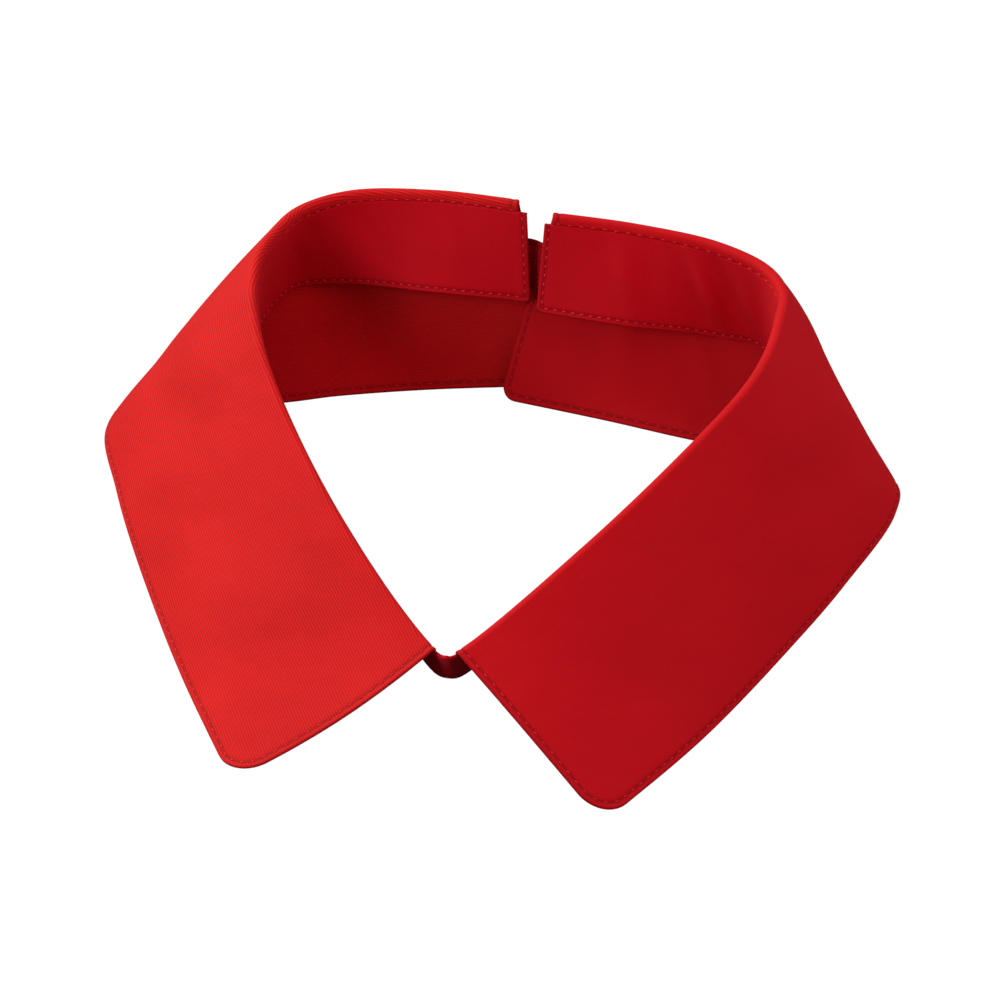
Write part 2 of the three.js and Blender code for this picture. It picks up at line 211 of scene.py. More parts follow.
@dataclass
class CollarShape:
    """The collar's own sizes and the middle surfaces of its cloth."""

    neck_width: float = 130.0
    neck_depth: float = 146.0
    fold_height: float = 52.0
    leaf_width: float = 60.0
    leaf_wall: float = 0.95
    roll_radius: float = 1.02
    leaf_bulge: float = 3.6
    point_radius: float = 9.0
    back_corner_radius: float = 4.0
    stand_height: float = 26.0
    stand_wall: float = 0.95
    seam_drop: float = 2.0
    seam_gap: float = 0.45
    middle_x: float = 0.124
    middle_y: float = 9.767
    front_bow: dict = field(default_factory=lambda: {Side.RIGHT: 0.4, Side.LEFT: 2.8})
    end_top: dict = field(default_factory=lambda: {Side.RIGHT: 1.7, Side.LEFT: 2.4})
    end_bottom: dict = field(default_factory=lambda: {Side.RIGHT: 0.1, Side.LEFT: 4.6})

    def __post_init__(self) -> None:
        """Runs the curves through the sections, right side first, then the front and the left side."""
        rows = {side: [self._section(s, p, side) for s, p in zip(SECTIONS, PLACES[side])] for side in Side}
        front = np.array([0, FRONT_NECK * self.neck_depth / 2, FRONT.height * self.fold_height])
        loop = rows[Side.RIGHT] + [(front, front, self._base(front, FRONT, 1))] + rows[Side.LEFT][::-1]
        self.fold = SmoothCurve([row[0] for row in loop])
        self.base = SmoothCurve([row[2] for row in loop])
        self.edges = {side: SmoothCurve([row[1] for row in rows[side]]) for side in Side}
        self.origin = np.array([self.middle_x, self.middle_y, 0])

    def _section(self, section: Section, place: Place, side: Side) -> tuple:
        """A section's points on the fold, the leaf's outer edge and the stand's bottom edge.

        Args:
            section: the section's heights and leans.
            place: where the section lies on its side.
            side: which half it is on.

        Returns:
            The three points, in that order.
        """
        mirror = 1 if side is Side.RIGHT else -1
        fold = np.array(
            [
                mirror * place.neck_x * self.neck_width / 2,
                place.neck_y * self.neck_depth / 2,
                section.height * self.fold_height,
            ]
        )
        reach = np.array([mirror * place.reach_x, place.reach_y, 0]) * self.leaf_width
        return fold, fold * (1, 1, 0) + reach, self._base(fold, section, mirror)

    def _base(self, fold: np.ndarray, section: Section, mirror: int) -> np.ndarray:
        """The stand's bottom edge below a point of the fold.

        Args:
            fold: the point on the fold.
            section: the section's heights and leans.
            mirror: 1 on the right side and -1 on the left.

        Returns:
            The point on the bottom edge.
        """
        drop = math.sqrt(1 - section.inward_x**2 - section.inward_y**2)
        lean = np.array([mirror * section.inward_x, section.inward_y, -drop])
        return fold + lean * section.stand * self.stand_height

    def loop_place(self, side: Side, along: np.ndarray) -> np.ndarray:
        """Places on the whole loop for shares of the way along one leaf."""
        part = along * (len(SECTIONS) - 1) / (2 * len(SECTIONS))
        return part if side is Side.RIGHT else 1 - part

    def roll(self, loop: np.ndarray) -> Roll:
        """The frames of the roll at places of the loop.

        Args:
            loop: places from 0 to 1.

        Returns:
            Centres, directions and seams, one of each per place.
        """
        fold = self.fold.at(loop)
        base = self.base.at(loop)
        along = self.fold.tangent(loop)
        out = np.stack([-along[:, 1], along[:, 0], np.zeros(len(loop))], axis=1)
        centre = fold - UP * (self.roll_radius + self.leaf_wall / 2)
        down = base - centre
        lean = np.arctan2(-(down * out).sum(1), -down[:, 2])
        seam = centre - share_rows(self.roll_radius * np.cos(lean), out)
        seam = seam + share_rows(self.roll_radius * np.sin(lean), np.tile(UP, (len(loop), 1)))
        return Roll(base, along, out, centre, lean, seam)

    def stand_points(self, loop: np.ndarray, drop: np.ndarray) -> np.ndarray:
        """The stand's middle surface.

        Args:
            loop: places of the loop, one per station.
            drop: shares of the way from the top edge to the bottom edge, as one row for all
                stations or one row for each.

        Returns:
            Stations by rows of points.
        """
        roll = self.roll(loop)
        start = self.seam_drop / np.linalg.norm(roll.leg, axis=1)
        part = start[:, None] + (1 - start)[:, None] * drop
        return roll.seam[:, None] + part[..., None] * roll.leg[:, None] + self.origin

    def leaf_points(self, side: Side, along: np.ndarray, down: np.ndarray) -> np.ndarray:
        """A leaf's middle surface.

        Args:
            side: which leaf.
            along: shares of the way from its back edge to its front edge, one per station.
            down: stations by rows, from -1 at the seam inside, over the roll to 0, to 1 at the edge.

        Returns:
            Stations by rows of points.
        """
        roll = self.roll(self.loop_place(side, along))
        edge = self.edges[side].at(along)
        reach = edge - roll.centre
        outward = (reach * roll.out).sum(1)
        distance = np.hypot(outward, reach[:, 2])
        slope = np.arctan2(outward, -reach[:, 2]) - np.arcsin(self.roll_radius / distance)
        turn = np.clip(-down / 0.8, 0, 1)
        angle = slope[:, None] + (math.pi - roll.lean - slope)[:, None] * turn
        point = roll.centre[:, None] + share_rows(self.roll_radius * np.cos(angle), roll.out[:, None])
        point = point + share_rows(self.roll_radius * np.sin(angle), UP[None, None])
        tail = np.clip(-(down + 0.8) * 5, 0, 1) * (self.seam_drop - self.seam_gap)
        leg = roll.leg / np.linalg.norm(roll.leg, axis=1)[:, None]
        point = point + share_rows(tail, leg[:, None])
        part = np.clip(down, 0, 1)
        point = point + share_rows(part, edge[:, None] - point)
        hump = 4 * part * (1 - part)
        rows = np.linspace(0, 1, len(SECTIONS))
        bulge = np.interp(along, rows, [s.bulge for s in SECTIONS])
        swell = self.leaf_bulge * bulge[:, None] * hump
        forward = roll.along if side is Side.RIGHT else -roll.along
        bow = self.front_bow[side] * np.maximum(0, 1 - (1 - along) * 5)[:, None] ** 2 * hump
        point = point + share_rows(swell * np.cos(slope)[:, None], roll.out[:, None])
        point = point + share_rows(swell * np.sin(slope)[:, None], UP[None, None])
        return point + share_rows(bow, forward[:, None]) + self.origin


def run_lengths(points: np.ndarray, axis: int) -> np.ndarray:
    """Distances along one axis of a grid of points, from its first row or station.

    Args:
        points: stations by rows of points.
        axis: 0 to run along the stations and 1 along the rows.

    Returns:
        One distance per point.
    """
    steps = np.linalg.norm(np.diff(points, axis=axis), axis=2)
    start = np.zeros_like(np.take(steps, [0], axis=axis))
    return np.concatenate([start, np.cumsum(steps, axis=axis)], axis=axis)


def corner_distance(a: np.ndarray, b: np.ndarray, radius: float) -> np.ndarray:
    """Distance to the outline of a rounded corner, for distances from its two straight edges."""
    inside = radius - np.hypot(np.maximum(radius - a, 0), np.maximum(radius - b, 0))
    return np.where((a < radius) & (b < radius), inside, np.minimum(a, b))


@dataclass
class Panel:
    """A cloth panel: its middle surface, and flat measures that its looks follow.

    along and up are flat distances in millimetres, edge is the distance to a finished edge, and rim
    to any edge, sewn ones too. facing is -1 where the grid's own normals point into the loop.
    """

    name: str
    middle: np.ndarray
    along: np.ndarray
    up: np.ndarray
    edge: np.ndarray
    rim: np.ndarray
    wall: float
    stitch_inset: float
    facing: int
    dents: tuple[Dent, ...]

    def __post_init__(self) -> None:
        """Presses the dents in, then works out the wall's two skins."""
        normal = self.normals()
        for dent in self.dents:
            turn = math.radians(dent.turn)
            a = self.along - dent.along
            b = self.up - dent.up
            long = (a * math.cos(turn) + b * math.sin(turn)) / dent.half_long
            wide = (b * math.cos(turn) - a * math.sin(turn)) / dent.half_wide
            self.middle = self.middle - share_rows(dent.depth * np.exp(-(long**2) - wide**2), normal)
        self.normal = self.normals()
        near = np.clip(self.rim / RIM_ROUNDING, 0, 1)
        half = self.wall / 2 * np.sqrt(np.maximum(1 - (1 - near) ** 2, 0))
        half = half - GROOVE_DEPTH * np.exp(-(((self.edge - self.stitch_inset) / GROOVE_WIDTH) ** 2))
        self.half = np.maximum(half, 0)

    def normals(self) -> np.ndarray:
        """Unit normals of the middle surface, facing out of the loop."""
        across = np.gradient(self.middle, axis=0)
        downwards = np.gradient(self.middle, axis=1)
        normal = np.cross(across, downwards) * self.facing
        length = np.linalg.norm(normal, axis=2)
        return normal / np.maximum(length, 1e-9)[..., None]

    def skin(self, way: int) -> np.ndarray:
        """One skin's points, none of them below the floor.

        Args:
            way: 1 for the outer skin and -1 for the inner one.

        Returns:
            Stations by rows of points.
        """
        points = self.middle + share_rows(way * self.half, self.normal)
        points[..., 2] = np.maximum(points[..., 2], 0)
        return points

    def area(self) -> float:
        """The flat area in square metres."""
        a = self.middle[1:, 1:] - self.middle[:-1, :-1]
        b = self.middle[1:, :-1] - self.middle[:-1, 1:]
        return float(np.linalg.norm(np.cross(a, b), axis=2).sum() / 2) * MM * MM

    def mesh(self) -> bpy.types.Object:
        """Builds the panel as one closed wall from a grid that wraps round both skins.

        Returns:
            The new object, with its flat measures as a UV map and its edge distance as an attribute.
        """
        stations, rows = self.edge.shape
        ring = 2 * rows - 1
        skins = np.concatenate([self.skin(1), self.skin(-1)[:, ::-1]], axis=1) * MM
        bm = bmesh.new()
        bmesh.ops.create_grid(bm, x_segments=stations - 1, y_segments=ring, size=1.0)
        edge_layer = bm.verts.layers.float.new("edge_distance")
        inner_layer = bm.verts.layers.float.new("inner_face")
        flat = {}
        for vertex in bm.verts:
            i = round((vertex.co.x + 1) / 2 * (stations - 1))
            j = round((vertex.co.y + 1) / 2 * ring)
            row = min(j, ring - j)
            vertex.co = Vector(skins[i, j])
            vertex[edge_layer] = self.edge[i, row]
            vertex[inner_layer] = 1.0 if j >= rows else 0.0
            flat[vertex] = (self.along[i, row] * MM, self.up[i, row] * MM)
        uv_layer = bm.loops.layers.uv.new("cloth")
        for face in bm.faces:
            face.smooth = True
            for loop in face.loops:
                loop[uv_layer].uv = flat[loop.vert]
        bmesh.ops.remove_doubles(bm, verts=bm.verts[:], dist=2e-6)
        bmesh.ops.holes_fill(bm, edges=[e for e in bm.edges if e.is_boundary], sides=0)
        bmesh.ops.recalc_face_normals(bm, faces=bm.faces[:])
        return finish_mesh(bm, self.name)

    def line(self, rows: list[tuple[int, int, float, float]]) -> np.ndarray:
        """Points, normals and half thicknesses at places between the grid's own.

        Args:
            rows: stations and rows, each with its share of the way to the next.

        Returns:
            Places by seven columns: point, normal and half thickness.
        """
        found = []
        for i, j, a, b in rows:
            i2 = min(i + 1, self.edge.shape[0] - 1)
            j2 = min(j + 1, self.edge.shape[1] - 1)
            parts = [
                np.concatenate([self.middle[p, q], self.normal[p, q], [self.half[p, q]]])
                for p, q in ((i, j), (i2, j), (i, j2), (i2, j2))
            ]
            low = parts[0] * (1 - a) + parts[1] * a
            high = parts[2] * (1 - a) + parts[3] * a
            found.append(low * (1 - b) + high * b)
        return np.array(found)


def finish_mesh(bm: bmesh.types.BMesh, name: str) -> bpy.types.Object:
    """Turns a finished bmesh into a linked object of that name.

    Args:
        bm: the bmesh, which is freed.
        name: the object's name.

    Returns:
        The new object.
    """
    mesh = bpy.data.meshes.new(name)
    bm.to_mesh(mesh)
    bm.free()
    piece = bpy.data.objects.new(name, mesh)
    bpy.context.scene.collection.objects.link(piece)
    return piece


def crossings(values: np.ndarray, level: float) -> list[tuple[int, float]]:
    """Where a row of values passes a level: the place before it and the share of the step.

    Args:
        values: one row of a grid.
        level: the value that is looked for.

    Returns:
        A place and a share of the step to the next, for each crossing.
    """
    below = values < level
    places = np.nonzero(below[:-1] != below[1:])[0]
    return [(int(k), float((level - values[k]) / (values[k + 1] - values[k]))) for k in places]


@dataclass(frozen=True)
class Thread:
    """A sewing thread, seen as the short dashes of a lockstitch."""

    width: float = 0.4
    shown: float = 0.48

    def sew(self, name: str, lines: list[tuple], pitch: float) -> bpy.types.Object:
        """Sews dashes along lines.

        Args:
            name: the new object's name.
            lines: points, normals and half thickness along each line, with the faces that it shows
                on: 1 for the outer face, -1 for the inner one.
            pitch: the stitch length.

        Returns:
            One object that holds every dash.
        """
        bm = bmesh.new()
        for line, ways in lines:
            steps = np.linalg.norm(np.diff(line[:, :3], axis=0), axis=1)
            lengths = np.concatenate([[0], np.cumsum(steps)])
            count = max(int(lengths[-1] / pitch), 1)
            centres = (np.arange(count) + 0.5) * lengths[-1] / count
            spots = np.stack([np.interp(centres, lengths, line[:, k]) for k in range(7)], axis=1)
            ahead = np.stack([np.interp(centres + 0.3, lengths, line[:, k]) for k in range(3)], axis=1)
            behind = np.stack([np.interp(centres - 0.3, lengths, line[:, k]) for k in range(3)], axis=1)
            for spot, tangent in zip(spots, ahead - behind):
                for way in ways:
                    self._dash(bm, spot, tangent, way, pitch)
        for face in bm.faces:
            face.smooth = True
        return finish_mesh(bm, name)

    def _dash(
        self, bm: bmesh.types.BMesh, spot: np.ndarray, tangent: np.ndarray, way: int, pitch: float
    ) -> None:
        """Adds one dash, half sunk in the cloth.

        Args:
            bm: the mesh that takes the dash.
            spot: its point, normal and half thickness of the cloth there.
            tangent: the direction of the line.
            way: 1 for the outer face and -1 for the inner one.
            pitch: the stitch length.
        """
        x = Vector(tangent).normalized()
        z = Vector(spot[3:6] * way).normalized()
        y = z.cross(x).normalized()
        z = x.cross(y)
        place = Vector(spot[:3]) + Vector(spot[3:6] * way) * (spot[6] + 0.02)
        place.z = max(place.z, self.width / 2)
        turn = Matrix((x, y, z)).transposed().to_4x4()
        size = Matrix.Diagonal((pitch * self.shown / 2 * MM, self.width / 2 * MM, self.width / 2 * MM, 1))
        bmesh.ops.create_uvsphere(
            bm, u_segments=6, v_segments=5, radius=1.0, matrix=Matrix.Translation(place * MM) @ turn @ size
        )


@dataclass
class Leaf:
    """A fold-over leaf, from its seam inside over the roll to its stitched outer edge."""

    shape: CollarShape
    side: Side
    dents: tuple[Dent, ...]
    stitch_inset: float = 1.6
    pitch: float = 2.9
    seam_stitch: float = 0.42
    seam_shown: float = 0.36

    def panel(self) -> Panel:
        """Lays out the leaf's grid, closer at its edges and rounded corners.

        Returns:
            The leaf's cloth.
        """
        shape = self.shape
        back, front = shape.back_corner_radius, shape.point_radius
        places = np.linspace(0, 1, 401)
        lengths = run_lengths(shape.edges[self.side].at(places)[:, None], 0)[:, 0]
        total = lengths[-1]
        into_back = self._ease(back, 9)
        into_front = (total - self._ease(front, 16))[::-1]
        distances = np.concatenate([into_back, np.linspace(back, total - front, 190), into_front])
        along = np.interp(distances, lengths, places)
        count = len(distances)
        straight = shape.leaf_points(self.side, along, np.tile([0.0, 1.0], (count, 1)))
        width = np.linalg.norm(straight[:, 1] - straight[:, 0], axis=1)
        share = self._share(distances, back, width) * self._share(total - distances, front, width)
        rows = np.concatenate([np.linspace(0, 0.94, 44)[:-1], 1 - 0.06 * (1 - np.linspace(0, 1, 13)) ** 1.6])
        roll = np.linspace(-1, 0, 17)[:-1]
        down = np.concatenate([np.tile(roll, (count, 1)), rows[None] * share[:, None]], axis=1)
        middle = shape.leaf_points(self.side, along, down)
        across = run_lengths(middle, 1)
        up = across[:, -1:] - across + ((1 - share) * width)[:, None]
        fold = run_lengths(middle[:, len(roll)][:, None], 0)[:, 0]
        part = np.clip(down, 0, 1)
        self.from_back = (1 - part) * fold[:, None] + part * distances[:, None]
        self.from_front = (1 - part) * (fold[-1] - fold)[:, None] + part * (total - distances)[:, None]
        edge = np.minimum(
            corner_distance(self.from_front, up, front), corner_distance(self.from_back, up, back)
        )
        self.first_row = len(roll)
        return Panel(
            name=f"leaf_{self.side.value}_cloth",
            middle=middle,
            along=self.from_back,
            up=up,
            edge=edge,
            rim=np.minimum(edge, 2 * across),
            wall=shape.leaf_wall,
            stitch_inset=self.stitch_inset,
            facing=1 if self.side is Side.RIGHT else -1,
            dents=self.dents,
        )

    @staticmethod
    def _ease(radius: float, steps: int) -> np.ndarray:
        """Distances into a rounded corner, closer together at its outer end."""
        return radius * (1 - np.cos(np.arange(steps) / steps * math.pi / 2))

    @staticmethod
    def _share(distance: np.ndarray, radius: float, width: np.ndarray) -> np.ndarray:
        """How much of the leaf's width a rounded corner leaves, for distances from the corner."""
        inside = np.clip(radius - distance, 0, radius)
        return 1 - (radius - np.sqrt(radius**2 - inside**2)) / width

    def topstitch(self, panel: Panel) -> np.ndarray:
        """The stitch line round the leaf, from the fold at the back over both corners to the front.

        Args:
            panel: the leaf's cloth.

        Returns:
            Points, normals and half thicknesses along the line.
        """
        stations, rows = panel.edge.shape
        back, front, outer = [], [], []
        for j in range(self.first_row, rows - 1):
            found = crossings(panel.edge[:, j], self.stitch_inset)
            if found and panel.up[found[0][0], j] > self.from_back[found[0][0], j]:
                back.append((found[0][0], j, found[0][1], 0.0))
            if found and panel.up[found[-1][0], j] > self.from_front[found[-1][0], j]:
                front.append((found[-1][0], j, found[-1][1], 0.0))
        for i in range(stations):
            found = crossings(panel.edge[i], self.stitch_inset)
            near = min(self.from_back[i, -1], self.from_front[i, -1])
            if found and found[-1][0] > self.first_row and panel.up[i, found[-1][0]] <= near:
                outer.append((i, found[-1][0], 0.0, found[-1][1]))
        return panel.line(back + outer + front[::-1])

    def seamstitch(self, panel: Panel) -> np.ndarray:
        """The stitch line just above the seam inside the fold, as far as it shows round the back.

        Args:
            panel: the leaf's cloth.

        Returns:
            Points, normals and half thicknesses along the line.
        """
        across = run_lengths(panel.middle, 1)
        found = []
        for i in range(2, round(len(across) * self.seam_shown)):
            j, step = crossings(across[i], self.seam_stitch)[0]
            found.append((i, j, 0.0, step))
        return panel.line(found)


@dataclass
class Stand:
    """The band inside the fold, in one piece round the front and open at the back."""

    shape: CollarShape
    dents: tuple[Dent, ...]
    stitch_inset: float = 1.3
    pitch: float = 2.3
    lift: float = 0.62

    def panel(self) -> Panel:
        """Lays out the stand's grid from its right end over the front to its left end.

        Returns:
            The stand's cloth.
        """
        shape = self.shape
        start = np.array([0, 0.0003, 0.0008, 0.0015])
        loop = np.concatenate([start, np.linspace(0.0025, 0.9975, 420), 1 - start[::-1]])
        above = np.array([0, 0.15, 0.35]) - self.lift
        rows = np.concatenate([above, np.linspace(0, 21.5, 24), 24.8 - 3 * self._fine()])
        legs = np.linalg.norm(shape.roll(loop).leg, axis=1)[:, None] - shape.seam_drop
        drop = np.where(rows < 0, rows / legs, rows / rows[-1])
        middle = shape.stand_points(loop, drop)
        steps = np.array([1, 0.9, 0.75, 0.5, 0.25])
        right = self._run_out(middle, Side.RIGHT, 0, steps, drop[0])
        left = self._run_out(middle, Side.LEFT, -1, steps[::-1], drop[-1])
        middle = np.concatenate([right, middle, left])
        along = run_lengths(middle, 0)
        across = run_lengths(middle, 1)
        up = across[:, -1:] - across
        ends = np.minimum(along, along[-1:] - along)
        edge = corner_distance(ends, up, 1.5)
        return Panel(
            name="stand_cloth",
            middle=middle,
            along=along,
            up=up,
            edge=edge,
            rim=np.minimum(edge, across * 1.6),
            wall=shape.stand_wall,
            stitch_inset=self.stitch_inset,
            facing=1,
            dents=self.dents,
        )

    @staticmethod
    def _fine() -> np.ndarray:
        """Shares of the last rows above the bottom edge, closest at the edge itself."""
        return (1 - np.linspace(0, 1, 12)) ** 1.5

    def _run_out(
        self, middle: np.ndarray, side: Side, end: int, steps: np.ndarray, drop: np.ndarray
    ) -> np.ndarray:
        """Stations beyond one end of the loop, further at the end's top or at its bottom.

        Args:
            middle: the stand's middle surface as far as the loop goes.
            side: which end is drawn out.
            end: the index of the loop's last station there.
            steps: shares of the way out, one per new station.
            drop: shares of the way down, one per row.

        Returns:
            The new stations by rows of points.
        """
        shape = self.shape
        place = np.array([0.0 if side is Side.RIGHT else 1.0])
        away = shape.fold.tangent(place)[0] * (-1 if side is Side.RIGHT else 1)
        part = np.clip(drop, 0, 1)
        reach = shape.end_top[side] * (1 - part) + shape.end_bottom[side] * part
        return middle[end][None] + steps[:, None, None] * reach[None, :, None] * away[None, None]

    def lines(self, panel: Panel) -> list[np.ndarray]:
        """The stitch lines along the bottom edge and up both ends.

        Args:
            panel: the stand's cloth.

        Returns:
            The bottom line, the right end's and the left end's.
        """
        stations, rows = panel.edge.shape
        bottom, right, left = [], [], []
        for i in range(stations):
            found = crossings(panel.edge[i], self.stitch_inset)
            ends = min(panel.along[i, -1], panel.along[-1, -1] - panel.along[i, -1])
            if found and ends > self.stitch_inset:
                bottom.append((i, found[-1][0], 0.0, found[-1][1]))
        for j in range(3, rows - 1):
            found = crossings(panel.edge[:, j], self.stitch_inset)
            if found and panel.up[0, j] > 1.5:
                right.append((found[0][0], j, found[0][1], 0.0))
                left.append((found[-1][0], j, found[-1][1], 0.0))
        return [panel.line(bottom), panel.line(right), panel.line(left)]


@dataclass
class BackTab:
    """The narrow strip that crosses the back opening on the outside of both stand ends."""

    shape: CollarShape
    wall: float = 0.8
    height: float = 13.0
    top: float = 9.0
    lap: float = 6.5
    stand_side: float = 0.7
    clearance: float = 0.4
    snap_thickness: float = 1.6

    def _beside(self, side: Side, back: float, drop: float, offset: float) -> np.ndarray:
        """A point beside the stand's outer face near the back.

        Args:
            side: which end of the stand.
            back: how far from the end, along the stand.
            drop: the share of the way down the stand.
            offset: how far out from the stand's middle surface.

        Returns:
            The point.
        """
        shape = self.shape
        loop, inner = (0.0, 0.02) if side is Side.RIGHT else (1.0, 0.98)
        shares = np.array([drop, max(drop - 0.2, 0), min(drop + 0.2, 1)])
        here = shape.stand_points(np.array([loop]), shares)[0]
        away = shape.stand_points(np.array([inner]), shares)[0, 0] - here[0]
        away = away / np.linalg.norm(away)
        normal = np.cross(away, here[2] - here[1])
        normal = normal / np.linalg.norm(normal)
        if normal[1] < 0:
            normal = -normal
        return here[0] + away * back + normal * offset

    def panel(self) -> Panel:
        """Lays the strip over the stand's two ends and the snap.

        Returns:
            The strip's cloth.
        """
        shape = self.shape
        ends = shape.stand_points(np.array([0.0]), np.array([0.0, 1.0]))[0]
        leg = np.linalg.norm(ends[1] - ends[0])
        offset = self.stand_side + self.clearance + self.wall / 2 + 0.1
        over = offset + self.snap_thickness + self.clearance
        columns = []
        last = [0.98, 0.99, 0.996, 1]
        steps = np.concatenate([[0, 0.004, 0.01, 0.02], np.linspace(0.035, 0.965, 50), last])
        shares = np.concatenate([[0, 0.01, 0.025], np.linspace(0.05, 0.95, 16), [0.975, 0.99, 1]])
        for share in shares:
            drop = (self.top + self.height * share - shape.seam_drop) / leg
            path = SmoothCurve(
                [
                    self._beside(Side.RIGHT, self.lap, drop, offset),
                    self._beside(Side.RIGHT, self.lap / 2, drop, offset),
                    self._beside(Side.LEFT, -shape.end_bottom[Side.LEFT], drop, over),
                    self._beside(Side.LEFT, self.lap / 2, drop, over),
                    self._beside(Side.LEFT, self.lap, drop, over),
                ]
            )
            columns.append(path.at(steps))
        middle = np.stack(columns, axis=1)
        along = run_lengths(middle, 0)
        across = run_lengths(middle, 1)
        up = across[:, -1:] - across
        ends = np.minimum(along, along[-1:] - along)
        edge = corner_distance(ends, np.minimum(across, up), 1.2)
        return Panel(
            name="back_tab_cloth",
            middle=middle,
            along=along,
            up=up,
            edge=edge,
            rim=edge,
            wall=self.wall,
            stitch_inset=1.2,
            facing=1,
            dents=(),
        )

    def line(self, panel: Panel) -> np.ndarray:
        """The stitch line along the strip's lower edge.

        Args:
            panel: the strip's cloth.

        Returns:
            Points, normals and half thicknesses along the line.
        """
        found = []
        for i in range(len(panel.edge)):
            places = crossings(panel.edge[i], panel.stitch_inset)
            if places and panel.along[i, -1] > 1.2 and panel.along[-1, -1] - panel.along[i, -1] > 1.2:
                found.append((i, places[-1][0], 0.0, places[-1][1]))
        return panel.line(found)


class Graph:
    """A node tree being built, with short calls for the nodes that the finishes use."""

    def __init__(self, tree: bpy.types.NodeTree) -> None:
        """Starts from an empty tree."""
        self.tree = tree
        tree.nodes.clear()

    def add(self, kind: str, values: dict | None = None, **settings: object) -> bpy.types.Node:
        """Adds a node.

        Args:
            kind: the node's type name.
            values: sockets, or plain values, for its named inputs.
            settings: the node's own properties.

        Returns:
            The new node.
        """
        node = self.tree.nodes.new(kind)
        for key, value in settings.items():
            setattr(node, key, value)
        for key, value in (values or {}).items():
            self.put(node.inputs[key], value)
        return node

    def put(self, socket: bpy.types.NodeSocket, value: object) -> None:
        """Links a socket to an input, or sets the input's own value.

        Args:
            socket: the input.
            value: a socket or a plain value.
        """
        if isinstance(value, bpy.types.NodeSocket):
            self.tree.links.new(value, socket)
        else:
            socket.default_value = value

    def math(self, operation: str, *values: object) -> bpy.types.NodeSocket:
        """A Math node's result.

        Args:
            operation: what the node does.
            values: sockets or plain numbers, in the node's order.

        Returns:
            The result's socket.
        """
        node = self.add("ShaderNodeMath", operation=operation)
        for socket, value in zip(node.inputs, values):
            self.put(socket, value)
        return node.outputs[0]

    def blend(self, part: object, a: object, b: object) -> bpy.types.NodeSocket:
        """A colour between two others.

        Args:
            part: the share of the second one.
            a: the first colour.
            b: the second colour.

        Returns:
            The colour's socket.
        """
        node = self.add("ShaderNodeMix", data_type="RGBA")
        for name, value in (("Factor_Float", part), ("A_Color", a), ("B_Color", b)):
            self.put(next(s for s in node.inputs if s.identifier == name), value)
        return next(s for s in node.outputs if s.identifier == "Result_Color")

    def noise(self, vector: object, scale: float, detail: float = 2.0) -> bpy.types.NodeSocket:
        """A Noise texture's value."""
        node = self.add("ShaderNodeTexNoise", {"Vector": vector, "Scale": scale, "Detail": detail})
        return node.outputs[0]


def new_group(name: str, inputs: dict[str, str], outputs: dict[str, str]) -> tuple[Graph, dict]:
    """Starts a shader node group.

    Args:
        name: the group's name.
        inputs: names and socket types of what it takes.
        outputs: names and socket types of what it gives.

    Returns:
        Its graph, and its inputs by name.
    """
    tree = bpy.data.node_groups.new(name, "ShaderNodeTree")
    for way, sockets in (("INPUT", inputs), ("OUTPUT", outputs)):
        for label, kind in sockets.items():
            tree.interface.new_socket(name=label, in_out=way, socket_type=kind)
    graph = Graph(tree)
    start = graph.add("NodeGroupInput")
    return graph, {label: start.outputs[label] for label in inputs}


NUMBER = "NodeSocketFloat"
VECTOR = "NodeSocketVector"


RIB_WANDER = 0.0006
RIB_SHIFT = 0.00017
CROSS_SPACING = 0.00042


def twill_group() -> bpy.types.NodeTree:
    """The twill weave: slanting ribs, the cross threads on them and a faint unevenness.

    Returns:
        The node group, which takes the cloth's flat place in metres.
    """
    graph, given = new_group(
        "twill_weave",
        {"Cloth": VECTOR, "Rib Turn": NUMBER, "Rib Spacing": NUMBER, "Rib Tone": NUMBER},
        {"Height": NUMBER, "Tone": NUMBER},
    )
    turned = graph.add("ShaderNodeVectorRotate", {"Vector": given["Cloth"], "Angle": given["Rib Turn"]})
    turned.rotation_type = "Z_AXIS"
    wander = graph.noise(given["Cloth"], 60.0)
    parts = graph.add("ShaderNodeSeparateXYZ", {"Vector": turned.outputs[0]})
    across = graph.math("MULTIPLY_ADD", wander, RIB_WANDER, parts.outputs["Y"])
    step = graph.math("DIVIDE", across, given["Rib Spacing"])
    rib = graph.math("SINE", graph.math("MULTIPLY", step, math.tau))
    shifted = graph.math("MULTIPLY_ADD", graph.math("FLOOR", step), RIB_SHIFT, parts.outputs["X"])
    cross = graph.math("SINE", graph.math("MULTIPLY", shifted, math.tau / CROSS_SPACING))
    threads = graph.math("MULTIPLY", cross, graph.math("MULTIPLY_ADD", rib, 0.5, 0.5))
    height = graph.math("MULTIPLY_ADD", threads, 0.3, rib)
    fleck = graph.noise(given["Cloth"], 2600.0, 1.0)
    # Tone is the painted rib shading, scaled by Rib Tone, on top of random flecks.
    tone = graph.math("MULTIPLY_ADD", height, given["Rib Tone"], graph.math("MULTIPLY_ADD", fleck, 0.7, 0.15))
    graph.add("NodeGroupOutput", {"Height": height, "Tone": tone})
    return graph.tree


